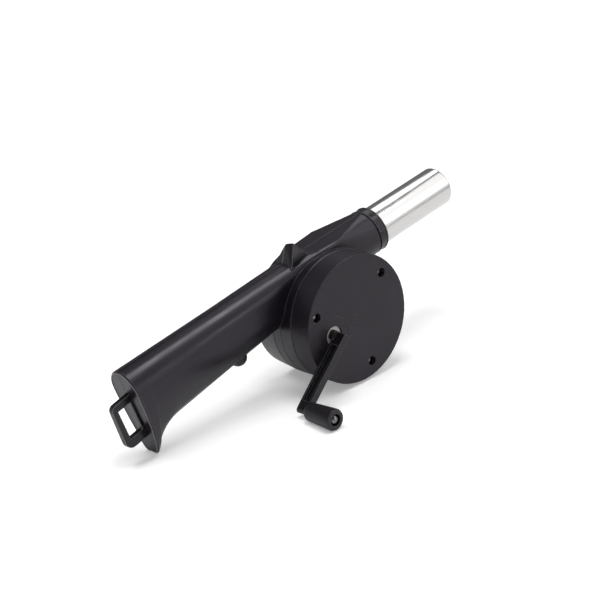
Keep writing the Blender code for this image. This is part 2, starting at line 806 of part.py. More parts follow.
def inlet_slots():
    """Radial slots of the air inlet, as one cutter of separate bars."""
    shape = bmesh.new()
    long_side = INLET_OUTER - INLET_INNER
    size = Matrix.Diagonal((long_side, INLET_SLOT_WIDTH, 4 * WALL, 1.0))
    for number in range(INLET_SLOTS):
        turn = Matrix.Rotation(math.tau * number / INLET_SLOTS, 4, "Z")
        place = Matrix.Translation(((INLET_INNER + INLET_OUTER) / 2, 0, DRUM_BACK + WALL / 2))
        bmesh.ops.create_cube(shape, size=1.0, matrix=turn @ place @ size)
    return tool("inlet_slots", mesh_of("inlet_slots", shape))


def build_left_half(added, removed):
    far = BUTT_LENGTH * 2
    keep = tool("keep_left", block("keep_left", (-far, -far, -far), (far, far, PARTING - SEAT_GAP / 2)))
    half = build_housing("housing_left", added, removed, keep)
    boss = cylinder("rear_boss", BOSS_RADIUS, CHAMBER_BACK - WALL / 2, rear_boss_front())
    join(half, tool("rear_boss", boss))
    for number, (x, y, face, _) in enumerate(body_screw_places(), 1):
        name = f"left_post_{number}"
        shape = cylinder(name, POST_RADIUS, face + WALL / 2, PARTING - SEAT_GAP / 2)
        join(half, tool(name, shape, (x, y, 0)))
    socket = cylinder("rear_socket", BUSH_RADIUS + PRESS_GAP, CHAMBER_BACK - WALL / 2, 0.0)
    cut(half, tool("rear_socket", socket), inlet_slots())
    for number, (x, y, face, length) in enumerate(body_screw_places(), 1):
        at = (x, y, face + BODY_SCREW_DEPTH)
        cut(half, *screw_hole(f"left_hole_{number}", at, length, True, 2 * BODY_SCREW_DEPTH))
        screw(f"body_screw_{number}", at, length, True)


def rear_boss_front():
    return CHAMBER_BACK + FAN_CLEARANCE - SEAT_GAP


def build_bush(name, low, high, flange_low):
    """A flanged bearing bush on the fan's axis, with its flange on the fan's side."""
    bore = AXLE_RADIUS + RUNNING_GAP
    wide = BUSH_RADIUS + BUSH_FLANGE
    flange_high = flange_low + BUSH_FLANGE
    outline = [(BUSH_RADIUS, high), (BUSH_RADIUS, low), (bore, low), (bore, high)]
    if flange_low < low:
        outline = [(BUSH_RADIUS, high), (BUSH_RADIUS, flange_high), (wide, flange_high), (wide, flange_low)]
        outline += [(bore, flange_low), (bore, high)]
    bush = add(name, profile(name, outline, True), BRONZE)
    turn_about_z(bush, SMALL_ROUND)


def build_fan():
    """Impeller, its shaft and pinion, and the two bushes that carry the shaft."""
    fan_front = CHAMBER_FRONT - SEAT_GAP - BUSH_FLANGE - SEAT_GAP
    fan_back = CHAMBER_BACK + FAN_CLEARANCE
    pinion_front = -SECOND_WHEEL_FRONT + SEAT_GAP
    shaft_front = pinion_front + OVERLAP
    shaft_back = CHAMBER_BACK - WALL / 2 + SEAT_GAP
    axis = bpy.data.objects.new("fan_axis", None)
    PARTS.objects.link(axis)
    axis.parent = BENCH

    shaft = cylinder("impeller_shaft", AXLE_RADIUS, shaft_back, shaft_front)
    add("impeller_shaft", shaft, STEEL, parent=axis)

    hub = ring(FAN_HUB_RADIUS, AXLE_RADIUS + PRESS_GAP, fan_back, fan_front)
    impeller = add("impeller", profile("impeller", hub, True), FAN_BLACK, parent=axis)
    turn_about_z(impeller, SMALL_ROUND)
    plate_back = fan_front - IMPELLER_PLATE
    disc = ring(IMPELLER_RADIUS, FAN_HUB_RADIUS - OVERLAP, plate_back, fan_front)
    backplate = tool("impeller_plate", profile("impeller_plate", disc, True), parent=axis)
    turn_about_z(backplate, TUBE_ROUND)
    join(impeller, backplate)
    for number in range(BLADES):
        name = f"blade_{number}"
        mesh = plate(name, [blade_outline()], fan_back, fan_front - IMPELLER_PLATE / 2)
        join(impeller, tool(name, mesh, turn=(0, 0, math.tau * number / BLADES), parent=axis))

    toward_idler = math.atan2(-idler_place().y, -idler_place().x)
    first_tooth = toward_idler + math.pi + math.pi / PINION_TEETH
    bore = circle((0, 0), AXLE_RADIUS + PRESS_GAP)
    teeth = gear_outline(PINION_TEETH, first_tooth)
    back = pinion_front - WHEEL_WIDTH - 2 * SEAT_GAP
    add("impeller_pinion", plate("impeller_pinion", [teeth, bore], back, pinion_front), BRONZE, parent=axis)

    build_bush("front_bush", CHAMBER_FRONT - SEAT_GAP, -BOSS_FRONT, CHAMBER_FRONT - SEAT_GAP - BUSH_FLANGE)
    build_bush("rear_bush", shaft_back, rear_boss_front(), shaft_back)


def blade_outline():
    """A backward-swept blade from inside the hub to the rim, of even thickness."""
    steps = 6
    inner = FAN_HUB_RADIUS - OVERLAP
    outer = IMPELLER_RADIUS - BLADE_THICKNESS
    line = []
    for i in range(steps + 1):
        share = i / steps
        radius = inner + (outer - inner) * share
        angle = -BLADE_SWEEP * share * share
        line.append(Vector((radius * math.cos(angle), radius * math.sin(angle))))
    left, right = [], []
    for i, point in enumerate(line):
        along = (line[min(i + 1, steps)] - line[max(i - 1, 0)]).normalized()
        across = Vector((-along.y, along.x)) * BLADE_THICKNESS / 2
        left.append(tuple(point + across))
        right.append(tuple(point - across))
    return right + left[::-1]


def build_idler():
    """The compound idler gear on its fixed axle."""
    idler = idler_place()
    axle_low = PLATE_FRONT - MID_PLATE / 2 + SEAT_GAP
    axle = cylinder("idler_axle", AXLE_RADIUS, axle_low, -WALL / 2 - SEAT_GAP)
    add("idler_axle", axle, STEEL, (*idler, 0))

    from_crank = idler - Vector(CRANK_AXIS)
    toward_crank = math.atan2(-from_crank.y, -from_crank.x)
    toward_fan = math.atan2(-idler.y, -idler.x)
    wheel_back = -SECOND_WHEEL_FRONT - WHEEL_WIDTH
    pinion_back = -SECOND_WHEEL_FRONT - WHEEL_WIDTH / 2
    pinion = plate(
        "idler_gear",
        [gear_outline(PINION_TEETH, toward_crank + math.pi / PINION_TEETH)],
        pinion_back,
        -WHEEL_FRONT - SEAT_GAP / 2,
    )
    gear = add("idler_gear", pinion, NYLON, (*idler, 0))
    teeth = gear_outline(WHEEL_TEETH, toward_fan)
    wheel = plate("idler_wheel", [teeth], wheel_back, -SECOND_WHEEL_FRONT)
    join(gear, tool("idler_wheel", wheel, parent=gear))
    bore = cylinder("idler_bore", AXLE_RADIUS + RUNNING_GAP, wheel_back - OVERLAP, 0.0)
    cut(gear, tool("idler_bore", bore, parent=gear))


def build_crank():
    """Drive gear, crank arm, knob and the knob's screw, on the crank's axis."""
    axis = bpy.data.objects.new("crank_axis", None)
    PARTS.objects.link(axis)
    axis.parent = BENCH
    axis.location = (*CRANK_AXIS, 0)

    to_idler = idler_place() - Vector(CRANK_AXIS)
    first_tooth = math.atan2(to_idler.y, to_idler.x)
    wheel_back = -WHEEL_FRONT - WHEEL_WIDTH
    teeth = gear_outline(WHEEL_TEETH, first_tooth)
    wheel = plate("drive_gear", [teeth], wheel_back, -WHEEL_FRONT)
    gear = add("drive_gear", wheel, NYLON, parent=axis)
    hub = cylinder("drive_hub", HUB_RADIUS, wheel_back + OVERLAP, -HUB_RECESS, TUBE_ROUND)
    stub_end = PLATE_FRONT - MID_PLATE / 2 + SEAT_GAP
    stub = cylinder("drive_stub", STUB_RADIUS, stub_end, wheel_back + OVERLAP)
    join(gear, tool("drive_hub", hub, parent=axis), tool("drive_stub", stub, parent=axis))
    grow = PRESS_GAP
    bore_low = ARM_CLEAR - SHAFT_LENGTH - SEAT_GAP
    bore = plate("drive_bore", [double_d(SHAFT_RADIUS + grow, SHAFT_FLAT + grow)], bore_low, OVERLAP)
    shaft_turn = (0, 0, CRANK_ANGLE + math.pi / 2)
    cut(gear, tool("drive_bore", bore, turn=shaft_turn, parent=axis))

    half = ARM_WIDTH / 2
    arm_front = ARM_CLEAR + ARM_DEPTH
    turn = (0, 0, CRANK_ANGLE)
    outline = [(-ARM_HUB_END, half), (-ARM_HUB_END, -half)]
    outline += arc((CRANK_LENGTH + ARM_KNOB_END - half, 0), half, -math.pi / 2, math.pi / 2, 10)
    bar = plate("crank_arm", [outline], ARM_CLEAR, arm_front)
    arm = add("crank_arm", bar, CRANK_BLACK, turn=turn, parent=axis)
    shaft_outline = double_d(SHAFT_RADIUS, SHAFT_FLAT)
    shaft = plate("crank_shaft", [shaft_outline], ARM_CLEAR - SHAFT_LENGTH, ARM_CLEAR + ARM_FLANGE)
    join(arm, tool("crank_shaft", shaft, turn=shaft_turn, parent=axis))
    for side in (-1, 1):
        inner, outer = sorted((side * ARM_WEB / 2, side * ARM_WIDTH))
        name = f"arm_channel_{'low' if side < 0 else 'high'}"
        low = (SHAFT_RADIUS + ARM_FLANGE, inner, ARM_CLEAR + ARM_FLANGE)
        high = (CRANK_LENGTH - KNOB_NECK, outer, arm_front - ARM_FLANGE)
        cut(arm, tool(name, block(name, low, high), turn=turn, parent=axis))

    knob_at = (CRANK_LENGTH * math.cos(CRANK_ANGLE), CRANK_LENGTH * math.sin(CRANK_ANGLE), arm_front)
    pivot = cylinder("knob_pivot_hole", SCREW_RADIUS + PRESS_GAP, -2 * ARM_DEPTH, OVERLAP)
    cut(arm, tool("knob_pivot_hole", pivot, knob_at, parent=axis))
    build_knob(axis, knob_at)


def build_knob(axis, at):
    """The turned knob and the screw it spins on. Z = 0 is the front of the crank arm."""
    end = KNOB_LENGTH
    bore = SCREW_RADIUS + RUNNING_GAP
    outline = [
        (KNOB_RECESS_RADIUS, end),
        (KNOB_RADIUS - 2 * EDGE, end),
        (KNOB_RADIUS - EDGE * 0.6, end - EDGE * 0.6),
        (KNOB_RADIUS, end - 2 * EDGE),
        (KNOB_ROOT_RADIUS, SEAT_GAP + KNOB_SHOULDER),
        (KNOB_NECK, SEAT_GAP),
        (bore, SEAT_GAP),
        (bore, end - KNOB_RECESS),
        (KNOB_RECESS_RADIUS, end - KNOB_RECESS),
    ]
    knob = add("crank_knob", profile("crank_knob", outline, True), CRANK_BLACK, at, parent=axis)
    turn_about_z(knob, KNOB_ROUND)
    seat = end - KNOB_RECESS + SEAT_GAP
    head = KNOB_RECESS_RADIUS - 2 * SEAT_GAP
    pin = [
        (0.0, seat + HEAD_HEIGHT),
        (head * 0.7, seat + HEAD_HEIGHT),
        (head, seat + HEAD_HEIGHT * 0.5),
        (head, seat),
        (SCREW_RADIUS, seat),
        (SCREW_RADIUS, -ARM_DEPTH + SEAT_GAP),
        (0.0, -ARM_DEPTH + SEAT_GAP),
    ]
    screw_piece = add("knob_screw", profile("knob_screw", pin, False), STEEL, at, parent=axis)
    turn_about_z(screw_piece, SMALL_ROUND)


def build_nozzle():
    """The steel tube over the housing's spigot, and the collar that holds its rear end."""
    inner = TUBE_RADIUS - TUBE_WALL
    rim = TUBE_WALL / 2
    outline = [
        (TUBE_RADIUS - rim, TUBE_END),
        (TUBE_RADIUS - rim * 0.3, TUBE_END - rim * 0.3),
        (TUBE_RADIUS, TUBE_END - rim),
        (TUBE_RADIUS, TUBE_REAR),
        (inner, TUBE_REAR),
        (inner, TUBE_END - rim),
    ]
    tube = along_nozzle("nozzle_tube", profile("nozzle_tube", outline, True), steel_piece)
    turn_about_z(tube, TUBE_ROUND)
    lip = TUBE_REAR - SEAT_GAP
    outline = [
        (COLLAR_RADIUS - EDGE / 2, COLLAR_FRONT),
        (COLLAR_RADIUS, COLLAR_FRONT - EDGE / 2),
        (COLLAR_RADIUS, COLLAR_REAR + EDGE / 2),
        (COLLAR_RADIUS - EDGE / 2, COLLAR_REAR),
        (SPIGOT_RADIUS + RUNNING_GAP, COLLAR_REAR),
        (SPIGOT_RADIUS + RUNNING_GAP, lip),
        (TUBE_RADIUS + RUNNING_GAP, lip),
        (TUBE_RADIUS + RUNNING_GAP, COLLAR_FRONT),
    ]
    collar = along_nozzle("nozzle_collar", profile("nozzle_collar", outline, True), collar_piece)
    turn_about_z(collar, TUBE_ROUND)


def steel_piece(name, mesh, at, turn):
    return add(name, mesh, STAINLESS, at, turn)


def collar_piece(name, mesh, at, turn):
    return add(name, mesh, CRANK_BLACK, at, turn)


def corners_of(obj, graph):
    """The evaluated corners of a piece, in world space."""
    seen = obj.evaluated_get(graph)
    mesh = seen.to_mesh()
    points = np.array([seen.matrix_world @ v.co for v in mesh.vertices])
    seen.to_mesh_clear()
    return points


def rest_up(feet):
    """The direction that points up when the blower rests on one point of each of its three feet."""
    up = np.array((0.0, 1.0, 0.0))
    for _ in range(12):
        first, second, third = (foot[(foot @ up).argmin()] for foot in feet)
        normal = np.cross(second - first, third - first)
        up = normal / np.linalg.norm(normal)
        up *= math.copysign(1.0, up[1])
    return up


def lay_down():
    """Turns and moves the bench so that the blower lies on Z = 0 with its middle over the origin."""
    bpy.context.view_layer.update()
    graph = bpy.context.evaluated_depsgraph_get()
    left = corners_of(bpy.data.objects["housing_left"], graph)
    right = corners_of(bpy.data.objects["housing_right"], graph)
    both = np.vstack((left, right))
    heel = both[both[:, 0] < FLARE_START]
    on_drum = np.hypot(left[:, 0], left[:, 1]) < DRUM_RADIUS + EDGE
    rim = left[on_drum & (left[:, 1] < 0)]
    knob = corners_of(bpy.data.objects["crank_knob"], graph)
    up = Vector(rest_up((heel, rim, knob)))
    forward = (Vector((1, 0, 0)) - up * up.x).normalized()
    turn = Matrix((forward, up.cross(forward), up))
    every = np.vstack([corners_of(obj, graph) for obj in PARTS.objects if obj.type == "MESH"])
    placed = every @ np.array(turn).T
    low, high = placed.min(axis=0), placed.max(axis=0)
    middle = Vector(((low[0] + high[0]) / 2, (low[1] + high[1]) / 2, low[2]))
    BENCH.matrix_world = Matrix.Translation(-middle) @ turn.to_4x4()
    bpy.context.view_layer.update()


FLARE_START = butt_x(HEEL_BOTTOM) + HEEL_TIP + FLARE_LENGTH

clear_scene()
PARTS = new_collection("hand_crank_blower")
TOOLS = new_collection("blower_cutters")
BENCH = bpy.data.objects.new("bench", None)
PARTS.objects.link(BENCH)

HOUSING_BLACK = look("housing_black", (0.040, 0.038, 0.044), 0.48)
CRANK_BLACK = look("crank_black", (0.016, 0.016, 0.018), 0.40)
FAN_BLACK = look("fan_black", (0.030, 0.030, 0.032), 0.50)
NYLON = look("natural_nylon", (0.72, 0.71, 0.68), 0.45)
BRONZE = look("bronze", (0.45, 0.30, 0.14), 0.40, 1.0)
STEEL = look("plated_steel", (0.55, 0.55, 0.56), 0.30, 1.0)
STAINLESS = look("stainless_steel", (0.62, 0.61, 0.60), 0.22, 1.0)

JOINED, REMOVED = housing_tools()
build_right_half(JOINED, REMOVED)
build_left_half(JOINED, REMOVED)
build_gear_cover()
build_crank()
build_idler()
build_fan()
build_nozzle()
build_loop()
lay_down()
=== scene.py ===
"""Looks of the hand-cranked forge blower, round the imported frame.

Finer pieces in the CAD nodes' places, their materials, a floor, the light and the camera.
"""

import json
from math import cos, pi, radians, sin

import bmesh
import bpy
from mathutils import Matrix, Vector
from mathutils.bvhtree import BVHTree
from mathutils.geometry import intersect_point_line

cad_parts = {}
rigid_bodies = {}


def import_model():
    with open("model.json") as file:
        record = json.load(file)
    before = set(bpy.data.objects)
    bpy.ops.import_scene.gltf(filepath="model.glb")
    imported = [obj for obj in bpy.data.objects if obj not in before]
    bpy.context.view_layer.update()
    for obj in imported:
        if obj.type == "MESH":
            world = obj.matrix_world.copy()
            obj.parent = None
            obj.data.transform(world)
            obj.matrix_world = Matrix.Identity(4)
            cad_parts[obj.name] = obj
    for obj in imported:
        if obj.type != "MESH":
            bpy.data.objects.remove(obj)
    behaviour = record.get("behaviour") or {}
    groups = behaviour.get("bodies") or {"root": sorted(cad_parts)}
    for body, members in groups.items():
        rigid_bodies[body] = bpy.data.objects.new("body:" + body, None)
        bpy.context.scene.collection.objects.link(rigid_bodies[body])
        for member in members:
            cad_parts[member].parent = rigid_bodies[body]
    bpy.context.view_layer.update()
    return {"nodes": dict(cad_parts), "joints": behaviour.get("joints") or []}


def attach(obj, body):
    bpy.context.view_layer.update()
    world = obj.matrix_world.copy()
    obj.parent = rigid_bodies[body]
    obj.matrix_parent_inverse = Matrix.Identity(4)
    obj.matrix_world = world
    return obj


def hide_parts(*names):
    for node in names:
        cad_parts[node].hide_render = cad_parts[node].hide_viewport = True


# The blower's own frame: x along the nozzle, y up, z towards the crank, from the fan axis on the
# cover's face. In it the crank's axis lies in this direction from the fan's.
CRANK_FROM_FAN = (-0.0199995, -0.0005996)
NOZZLE_WAY = (1.0, 0.0, 0.0)
CRANK_WAY = (0.0, 0.0, 1.0)

# The camera in the blower's own frame, in metres, fitted to the photo's drum face and nozzle.
CAMERA_AT = (-0.6556, 0.5581, 0.83266)
CAMERA_BACK = (-0.5318, 0.45119, 0.71667)
CAMERA_UP = (0.46897, 0.86156, -0.19441)
CAMERA_CLIP = (0.01, 50.0)
LENS_MM = 120.0
SENSOR_MM = 36.0

# Joining the CAD facets into smooth surfaces.
WELD = 0.000002
FLAT_WITHIN = radians(0.4)
SHARP_OVER = radians(32.0)

# Points as near as this to a plane lie in it.
NEAR = 0.00002
# Edges that turn by more than this are square. Those of some nodes are broken, by these widths.
SQUARE = radians(60.0)
EDGE_BREAKS = {
    "gear_cover": 0.00015,
    "crank_arm": 0.00012,
    "crank_knob": 0.00015,
    "lanyard_loop": 0.00020,
    "nozzle_collar": 0.00015,
}

# The seam of the shell: the plane where its halves meet, half the gap there, the width of the edge
# break, and the distances between which the painted shade along the seam, with its gloss taken
# away, gives way to gloss.
PARTING = -0.032
SEAM_HALF = 0.00015
SEAM_BREAK = 0.00025
SEAM_PAINTED_SHADE = (0.00020, 0.00045)
# An edge of the seam shows if nothing lies beside it, looking from this far inside its half and
# this far out to the side.
PROBE_INSIDE = 0.0005
PROBE_BESIDE = 0.0002

# The rounded thumb stop: where the CAD stop's ridge is and how low it is set, and the centres and
# radii of the balls at the corners of the new one.
STOP_TOP = 0.0532
STOP_LOWERED = 0.0445
STOP_BALLS = (
    ((-0.0204, 0.0403, -0.0232), 0.00005),
    ((-0.0200, 0.0408, -0.0380), 0.0005),
    ((-0.0046, 0.0403, -0.0232), 0.00005),
    ((-0.0054, 0.0408, -0.0380), 0.0005),
    ((-0.0126, 0.0524, -0.0262), 0.00015),
    ((-0.0121, 0.0524, -0.0266), 0.0005),
    ((-0.0131, 0.0502, -0.0312), 0.0019),
)
BALL_RINGS = 12
BALL_TURNS = 24

# The heel's far side, away from the seam and behind its front, is filled out below its top, up to
# the whole fill at the foot of the rise.
HEEL_KEEP = 0.0009
HEEL_FRONT = -0.12
HEEL_TOP = -0.002
HEEL_RISE = 0.015
HEEL_FILL = 0.0032

# The butt's plane: its place at no height, its lean and the depth of its skin.
BUTT_AT = -0.14551
BUTT_RAKE = -0.125
BUTT_SKIN = 0.0001
# The butt's outline: its top, foot and half width, the height of its round shoulders, the half
# widths that stay flat at the top and at the foot, and the power that points its belly.
BUTT_TOP = 0.03987
BUTT_FOOT = -0.01750
BUTT_HALF = 0.0111
BUTT_SHOULDER = 0.0130
BUTT_TOP_FLAT = 0.0002
BUTT_LOW_FLAT = 0.0014
BUTT_POINT = 1.1
# The raised rim along that outline, painted pale as a highlight along the butt's edge: steps of
# each quarter of it, radius and sides.
RIM_STEPS = 6
RIM_RADIUS = 0.00032
RIM_SIDES = 12

# The steel tube with the bead at its root and its turned-in lip: places along it and radii, along
# the outside, round the lip and back inside.
TUBE_AXIS = (0.0283, -0.032)
TUBE_PROFILE = (
    (0.0485, 0.0125),
    (0.0535, 0.0125),
    (0.0538, 0.0131),
    (0.0543, 0.0132),
    (0.0549, 0.0130),
    (0.0553, 0.0125),
    (0.0560, 0.0125),
    (0.1128, 0.0125),
    (0.1132, 0.01244),
    (0.1135, 0.01231),
    (0.1138, 0.01209),
    (0.1140, 0.01180),
    (0.1142, 0.01147),
    (0.1142, 0.0111),
    (0.1140, 0.0109),
    (0.1136, 0.0108),
    (0.1131, 0.0109),
    (0.1124, 0.0113),
    (0.1116, 0.0117),
    (0.0485, 0.0117),
)
TUBE_TURNS = 96

# The domes of the knob's and the cover's screws: the axis of the knob's, the share of the profile
# that each kind has, and the profile as heights above the screw's own top and radii.
KNOB_AXIS = (-0.05934, -0.02774)
KNOB_DOME = 1.0
COVER_DOME = 0.80
DOME_PROFILE = (
    (-0.0006, 0.0),
    (-0.0006, 0.0031),
    (0.0008, 0.0031),
    (0.0014, 0.0029),
    (0.0020, 0.0025),
    (0.0025, 0.0018),
    (0.0028, 0.0010),
    (0.0029, 0.0),
)

# Rounded beads at the two edges of the collar: places along the tube, radius of the ring and of the
# bead.
COLLAR_BEADS = (("collar_bead_rear", 0.0480), ("collar_bead_front", 0.0532))
BEAD_RING = 0.0141
BEAD_RADIUS = 0.00045
BEAD_TURNS = 10

# Creases of the nozzle's root, on the crank side: from the drum to the collar.
CREASES = (
    ((0.0170, 0.0422, -0.0197), (0.0465, 0.0422, -0.0302)),
    ((0.0170, 0.0410, -0.0190), (0.0465, 0.03505, -0.01937)),
)
CREASE_WITHIN = 0.0001

# Faint raised rings on the cover: centre and middle radius.
COVER_RINGS = (
    ("gate_mark", (-0.0015, 0.0012), 0.0027),
    ("hub_ring", (-0.0200, -0.0006), 0.0118),
)
RING_HALF = 0.00022
RING_CREST_HALF = RING_HALF / 3
RING_RISE = 0.00010
RING_SUNK = 0.00005

# Plastics: colour, colour of the painted highlight along the edges, roughness, scale and depth of
# the grain, and width of the edges that carry that painted highlight.
PLASTICS = {
    "shell_plastic": (
        (0.0076, 0.0058, 0.0094),
        (0.200, 0.194, 0.212),
        0.33,
        2600.0,
        0.00002,
        0.0004,
    ),
    "cover_plastic": (
        (0.0085, 0.0066, 0.0100),
        (0.075, 0.072, 0.080),
        0.48,
        2200.0,
        0.00004,
        0.0004,
    ),
    "crank_plastic": (
        (0.0040, 0.0036, 0.0048),
        (0.240, 0.236, 0.247),
        0.34,
        3000.0,
        0.00002,
        0.0004,
    ),
    "loop_plastic": (
        (0.0040, 0.0036, 0.0048),
        (0.500, 0.494, 0.510),
        0.30,
        3000.0,
        0.00002,
        0.0005,
    ),
    # The butt's rim, painted pale: a painted highlight along the butt's edge.
    "worn_rim_plastic": (
        (0.150, 0.147, 0.156),
        (0.260, 0.256, 0.266),
        0.34,
        2600.0,
        0.00002,
        0.0004,
    ),
    "collar_plastic": (
        (0.0040, 0.0036, 0.0048),
        (0.300, 0.296, 0.308),
        0.24,
        3000.0,
        0.00001,
        0.0006,
    ),
    "knob_plastic": (
        (0.0090, 0.0080, 0.0100),
        (0.150, 0.147, 0.155),
        0.44,
        3000.0,
        0.00002,
        0.0004,
    ),
    "rotor_plastic": (
        (0.016, 0.016, 0.017),
        (0.060, 0.060, 0.062),
        0.48,
        2600.0,
        0.00003,
        0.0004,
    ),
}
# The one with painted shade along its seam, and for all of them the clouds and the grain, how far
# the grain shades the colour and the clouds change the roughness, and the tint and strength of the
# gloss.
SEAMED_PLASTIC = "shell_plastic"
PLASTIC_CLOUD = {"Scale": 45.0, "Detail": 5.0, "Roughness": 0.6}
PLASTIC_GRAIN = {"Detail": 3.0, "Roughness": 0.7}
PLASTIC_SPECK = (0.82, 1.18)
PLASTIC_VARIES = (-0.05, 0.06)
PLASTIC_TINT = (0.96, 0.90, 1.0, 1.0)
GLOSS = 0.41
# An edge gets a painted highlight, painted paler, where its rounding turns the surface: cosines of
# the turn at which the painted highlight starts and is full, how much it is then, and how cloudy.
EDGE_HIGHLIGHT_STARTS = 0.985
EDGE_HIGHLIGHT_FULL = 0.92
EDGE_HIGHLIGHT_MOST = 0.8
EDGE_HIGHLIGHT_CLOUD = (0.6, 1.0)
BEVEL_SAMPLES = 6

# Metals: colour, roughness, and the axis and scale of the lines left by turning.
METALS = {
    "polished_tube": ((0.68, 0.67, 0.665), 0.16, NOZZLE_WAY, 2600.0),
    "blued_screw": ((0.16, 0.16, 0.165), 0.12, CRANK_WAY, 5200.0),
    "plated_screws": ((0.48, 0.48, 0.49), 0.30, CRANK_WAY, 5200.0),
    "zinc_screws": ((0.80, 0.80, 0.82), 0.50, CRANK_WAY, 5200.0),
    "bush_bronze": ((0.62, 0.43, 0.22), 0.30, CRANK_WAY, 4200.0),
}
# For all of them the lines and the clouds, how far the lines shade the colour and stand out, and
# how far the clouds change the roughness.
METAL_LINES = {"Detail": 6.0, "Roughness": 0.75}
METAL_CLOUD = {"Scale": 70.0, "Detail": 4.0}
METAL_SHADE = (0.93, 1.05)
METAL_BUMP = {"Distance": 0.00001, "Strength": 0.5}
METAL_VARIES = (-0.04, 0.05)

# Undyed gear plastic: its clouds, the two colours of them, its roughness and its depth.
NYLON = "gear_nylon"
NYLON_CLOUD = {"Scale": 120.0, "Detail": 4.0}
NYLON_COLOURS = ((0.80, 0.78, 0.72, 1.0), (0.70, 0.68, 0.62, 1.0))
NYLON_ROUGHNESS = (0.34, 0.46)
NYLON_DEPTH = {"Subsurface Weight": 0.25, "Subsurface Scale": 0.002}

# Noise mostly stays between these values.
NOISE_RANGE = (0.3, 0.7)

# The material of each CAD node, apart from the tube.
COVER_SCREWS = ("cover_screw_1", "cover_screw_2", "cover_screw_3")
BODY_SCREWS = ("body_screw_1", "body_screw_2", "body_screw_3", "body_screw_4")
WORN_BY = {
    "shell_plastic": ("housing_right", "housing_left"),
    "cover_plastic": ("gear_cover",),
    "crank_plastic": ("crank_arm",),
    "loop_plastic": ("lanyard_loop",),
    "collar_plastic": ("nozzle_collar",),
    "knob_plastic": ("crank_knob",),
    "rotor_plastic": ("impeller",),
    "blued_screw": ("knob_screw",),
    "plated_screws": ("idler_axle", "impeller_shaft", *COVER_SCREWS, *BODY_SCREWS),
    "bush_bronze": ("front_bush", "rear_bush", "impeller_pinion"),
    NYLON: ("drive_gear", "idler_gear"),
}

# Soft boxes: bearing clockwise from the far side and rise, in degrees, size in metres, radiance,
# and whether each is there for matt surfaces and for reflections.
SOFT_BOXES = (
    ("top_box", 143.0, 72.5, 0.44, 7.6, False, True),
    ("key_box", 180.0, 86.0, 0.40, 10.0, True, False),
    ("rear_box", 52.0, 50.0, 0.44, 1.9, True, True),
    ("front_box", 122.0, 36.0, 0.90, 1.2, True, True),
    ("low_box", 153.0, 4.0, 0.17, 6.0, False, True),
)
BOX_DISTANCE = 1.0
LIT_POINT = (0.05, 0.02, 0.06)
# A small box over the table behind the butt, for matt surfaces: its spot in the blower's own frame,
# height, size and power.
BUTT_SPOT = (-0.22, 0.0, -0.13)
BUTT_LAMP_RISE = 0.36
BUTT_LAMP_SIZE = 0.12
BUTT_LAMP_POWER = 0.46

# The room's radiance for light that spreads, for reflections and for the camera. Reflections see
# paler walls along this bearing, both ways, between these cosines of the angle to it.
ROOM_FILL = 0.36
ROOM_MIRRORED = 0.18
ROOM_SEEN = 1.0
PALE_WALL = 0.85
PALE_WALL_BEARING = 142.0
PALE_WALL_FADE = (0.72, 0.97)

# The table: it darkens between two distances along its bearing, from pale to dark. The camera sees
# it lifted towards white, more where it is dark and, between two distances, towards its edge, and
# reflections see it lifted a little where it is pale.
FLOOR_HALF = 6.0
TABLE_BEARING = 40.0
TABLE_FADE = (0.27, 0.36)
TABLE_PALE = 0.86
TABLE_DARK = 0.22
TABLE_LIFT = (0.27, 0.95)
TABLE_EDGE = (0.40, 0.70)
TABLE_MIRRORED_LIFT = 0.05
TABLE_CLOUD = {"Scale": 9.0, "Detail": 3.0}
TABLE_GRAIN = (-0.004, 0.004)
TABLE_ROUGHNESS = 0.9
WHITE = (1.0, 1.0, 1.0, 1.0)

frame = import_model()


def blower_frame():
    """The matrix from the blower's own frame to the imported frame, from its two parallel axes."""
    joints = {joint["name"]: joint for joint in frame["joints"]}
    fan = Vector(joints["fan_spin"]["pos_m"])
    out = -Vector(joints["fan_spin"]["axis"]).normalized()
    towards = Vector(joints["crank_spin"]["pos_m"]) - fan
    towards = (towards - out * towards.dot(out)).normalized()
    across = out.cross(towards)
    reach = Vector(CRANK_FROM_FAN).normalized()
    along = towards * reach.x - across * reach.y
    up = out.cross(along)
    return Matrix.Translation(fan) @ Matrix((along, up, out)).transposed().to_4x4()


BLOWER = blower_frame()


def packed_way(way):
    """A direction of the blower's own frame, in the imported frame."""
    return BLOWER.to_3x3() @ Vector(way)


def butt_way():
    """The direction that the butt faces, in the blower's own frame."""
    return Vector((-1.0, BUTT_RAKE, 0.0)).normalized()


def shader(name):
    """A new material with its node tree and its Principled node."""
    material = bpy.data.materials.new(name)
    material.use_nodes = True
    return material, material.node_tree, material.node_tree.nodes["Principled BSDF"]


def node(tree, kind, inputs=None, **settings):
    """A new shader node with its settings, and its inputs set to values or linked to outputs."""
    made = tree.nodes.new("ShaderNode" + kind)
    for key, value in settings.items():
        setattr(made, key, value)
    feed(tree, made, inputs or {})
    return made


def feed(tree, made, inputs):
    """Sets a node's inputs to values, or links them to other nodes' outputs."""
    for key, value in inputs.items():
        if isinstance(value, bpy.types.NodeSocket):
            tree.links.new(value, made.inputs[key])
        else:
            made.inputs[key].default_value = value


def reckon(tree, operation, *values):
    """The outcome of a sum on one or two values."""
    return node(tree, "Math", dict(enumerate(values)), operation=operation).outputs["Value"]


def dot(tree, first, second):
    """How far one vector reaches along another."""
    made = node(tree, "VectorMath", {0: first, 1: second}, operation="DOT_PRODUCT")
    return made.outputs["Value"]


def scaled(tree, vector, scale):
    """A vector or colour times a value."""
    made = node(tree, "VectorMath", {0: vector, "Scale": scale}, operation="SCALE")
    return made.outputs["Vector"]


